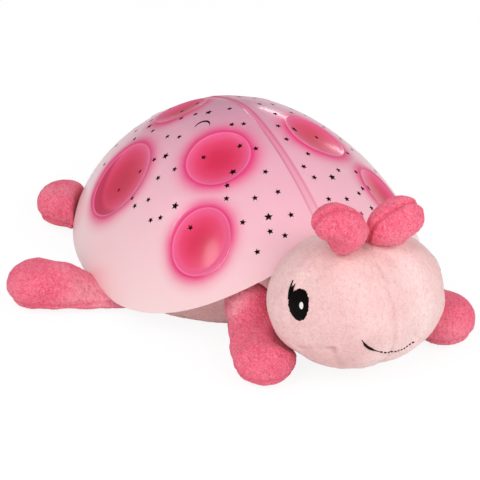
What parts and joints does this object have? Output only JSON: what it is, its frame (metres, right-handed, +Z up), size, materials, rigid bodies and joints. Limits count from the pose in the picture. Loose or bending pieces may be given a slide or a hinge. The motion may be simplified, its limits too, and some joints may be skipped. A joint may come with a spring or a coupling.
{
  "type": "star night light projector",
  "caption": "Soft ladybird night light: plush head, antennae, legs and belly around a translucent domed shell pierced by stars, with press buttons, lamps and a screwed battery door.",
  "frame": {"origin": "on the floor under the toy, on the belly's flat underside, 18 mm in front of the shell's middle", "axes": "+Z up, the head looks towards -Y, X runs across the toy with the ladybird's left at +X"},
  "size_m": [0.239, 0.2799, 0.0923],
  "materials": {
    "pearl_shell": "translucent pearl pink moulding",
    "white_plastic": "fine moulded texture",
    "steel": "zinc plated",
    "cell_wrap": "plain wrap",
    "contact_steel": "nickel plated",
    "circuit_board": "solder mask",
    "lamp_epoxy": "clear epoxy",
    "panel_plastic": "satin",
    "switch_plastic": "matt",
    "pale_plush": "short pile plush",
    "pink_plush": "short pile plush",
    "tape": "hook-and-loop",
    "button_rubber": "matt"
  },
  "bodies": {
    "toy": {"star_shell": "pearl_shell", "base_housing": "white_plastic", "shell_screws": "steel", "battery_front": "cell_wrap", "battery_middle": "cell_wrap", "battery_rear": "cell_wrap", "positive_contacts": "contact_steel", "negative_contacts": "contact_steel", "lamp_pillar": "white_plastic", "lamp_board": "circuit_board", "lamp_board_screws": "steel", "red_lamp": "lamp_epoxy", "green_lamp": "lamp_epoxy", "blue_lamp": "lamp_epoxy", "control_panel": "panel_plastic", "control_board": "circuit_board", "button_switches": "switch_plastic", "control_chip": "switch_plastic", "control_board_screws": "steel", "plush_body": "pale_plush", "belly_loop_tape": "tape", "head": "pale_plush", "front_right_leg": "pink_plush", "front_left_leg": "pink_plush", "middle_right_leg": "pink_plush", "middle_left_leg": "pink_plush", "rear_right_leg": "pink_plush", "rear_left_leg": "pink_plush", "right_antenna": "pink_plush", "left_antenna": "pink_plush"},
    "left_colour_button": {"left_colour_button": "button_rubber"},
    "middle_colour_button": {"middle_colour_button": "button_rubber"},
    "right_colour_button": {"right_colour_button": "button_rubber"},
    "battery_door": {"battery_door": "white_plastic", "battery_door_screws": "steel"},
    "belly_flap": {"belly_flap": "pale_plush", "flap_hook_tape": "tape"}
  },
  "joints": [
    {"name": "left_colour_press", "type": "slide", "parent": "toy", "child": "left_colour_button", "axis": [0, -0.607, -0.7947], "range_m": [0, 0.0008], "stiffness_N_per_m": 1500, "springref_m": -0.0005},
    {"name": "middle_colour_press", "type": "slide", "parent": "toy", "child": "middle_colour_button", "axis": [0, -0.607, -0.7947], "range_m": [0, 0.0008], "stiffness_N_per_m": 1500, "springref_m": -0.0005},
    {"name": "right_colour_press", "type": "slide", "parent": "toy", "child": "right_colour_button", "axis": [0, -0.607, -0.7947], "range_m": [0, 0.0008], "stiffness_N_per_m": 1500, "springref_m": -0.0005},
    {"name": "battery_door_lift", "type": "slide", "parent": "toy", "child": "battery_door", "axis": [0, 0, -1], "range_m": [0, 0.005]},
    {"name": "belly_flap_hinge", "type": "hinge", "parent": "toy", "child": "belly_flap", "pos_m": [0, 0.06575, 0.0014], "axis": [1, 0, 0], "range_deg": [0, 100]}
  ]
}
